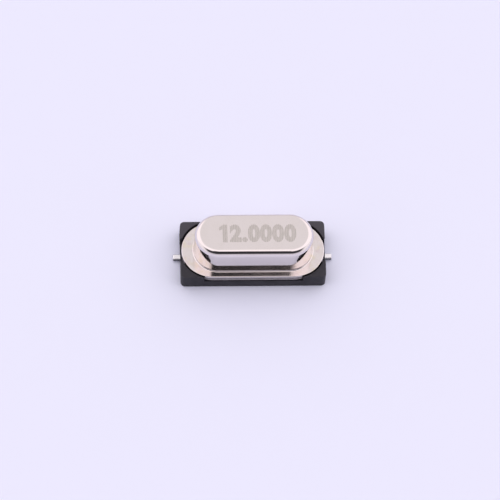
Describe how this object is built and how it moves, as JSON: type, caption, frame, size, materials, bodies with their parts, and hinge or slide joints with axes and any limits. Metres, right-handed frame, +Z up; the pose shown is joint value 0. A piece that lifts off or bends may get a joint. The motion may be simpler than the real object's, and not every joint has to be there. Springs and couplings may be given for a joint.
{
  "type": "crystal resonator",
  "caption": "Surface-mount quartz crystal: oval welded metal can with a flange on a black moulded tray, flat leads out at the ends.",
  "frame": {"origin": "On the seating plane, under the middle of the tray.", "axes": "+X from the left lead to the right lead, +Y across the can, +Z up from the board through the can's top."},
  "size_m": [0.0124, 0.005, 0.0042],
  "materials": {
    "can_nickel": "satin nickel plate over drawn steel",
    "header_steel": "nickel-plated pressed steel",
    "tray_plastic": "fine matt moulding, glass filled",
    "lead_tin": "bright tin plate",
    "seal_glass": "fused, smooth, dark green-grey",
    "clip_steel": "bare spring strip",
    "quartz": "lapped, slightly frosted",
    "film_silver": "evaporated film",
    "bond_adhesive": "silver-filled adhesive, dull"
  },
  "bodies": {
    "root": {"metal_cap": "can_nickel", "header_base": "header_steel", "insulator_tray": "tray_plastic", "lead_left": "lead_tin", "lead_right": "lead_tin", "glass_seal_left": "seal_glass", "glass_seal_right": "seal_glass", "spring_clip_left": "clip_steel", "spring_clip_right": "clip_steel", "quartz_blank": "quartz", "electrode_top": "film_silver", "electrode_bottom": "film_silver", "adhesive_left": "bond_adhesive", "adhesive_right": "bond_adhesive"}
  },
  "joints": []
}
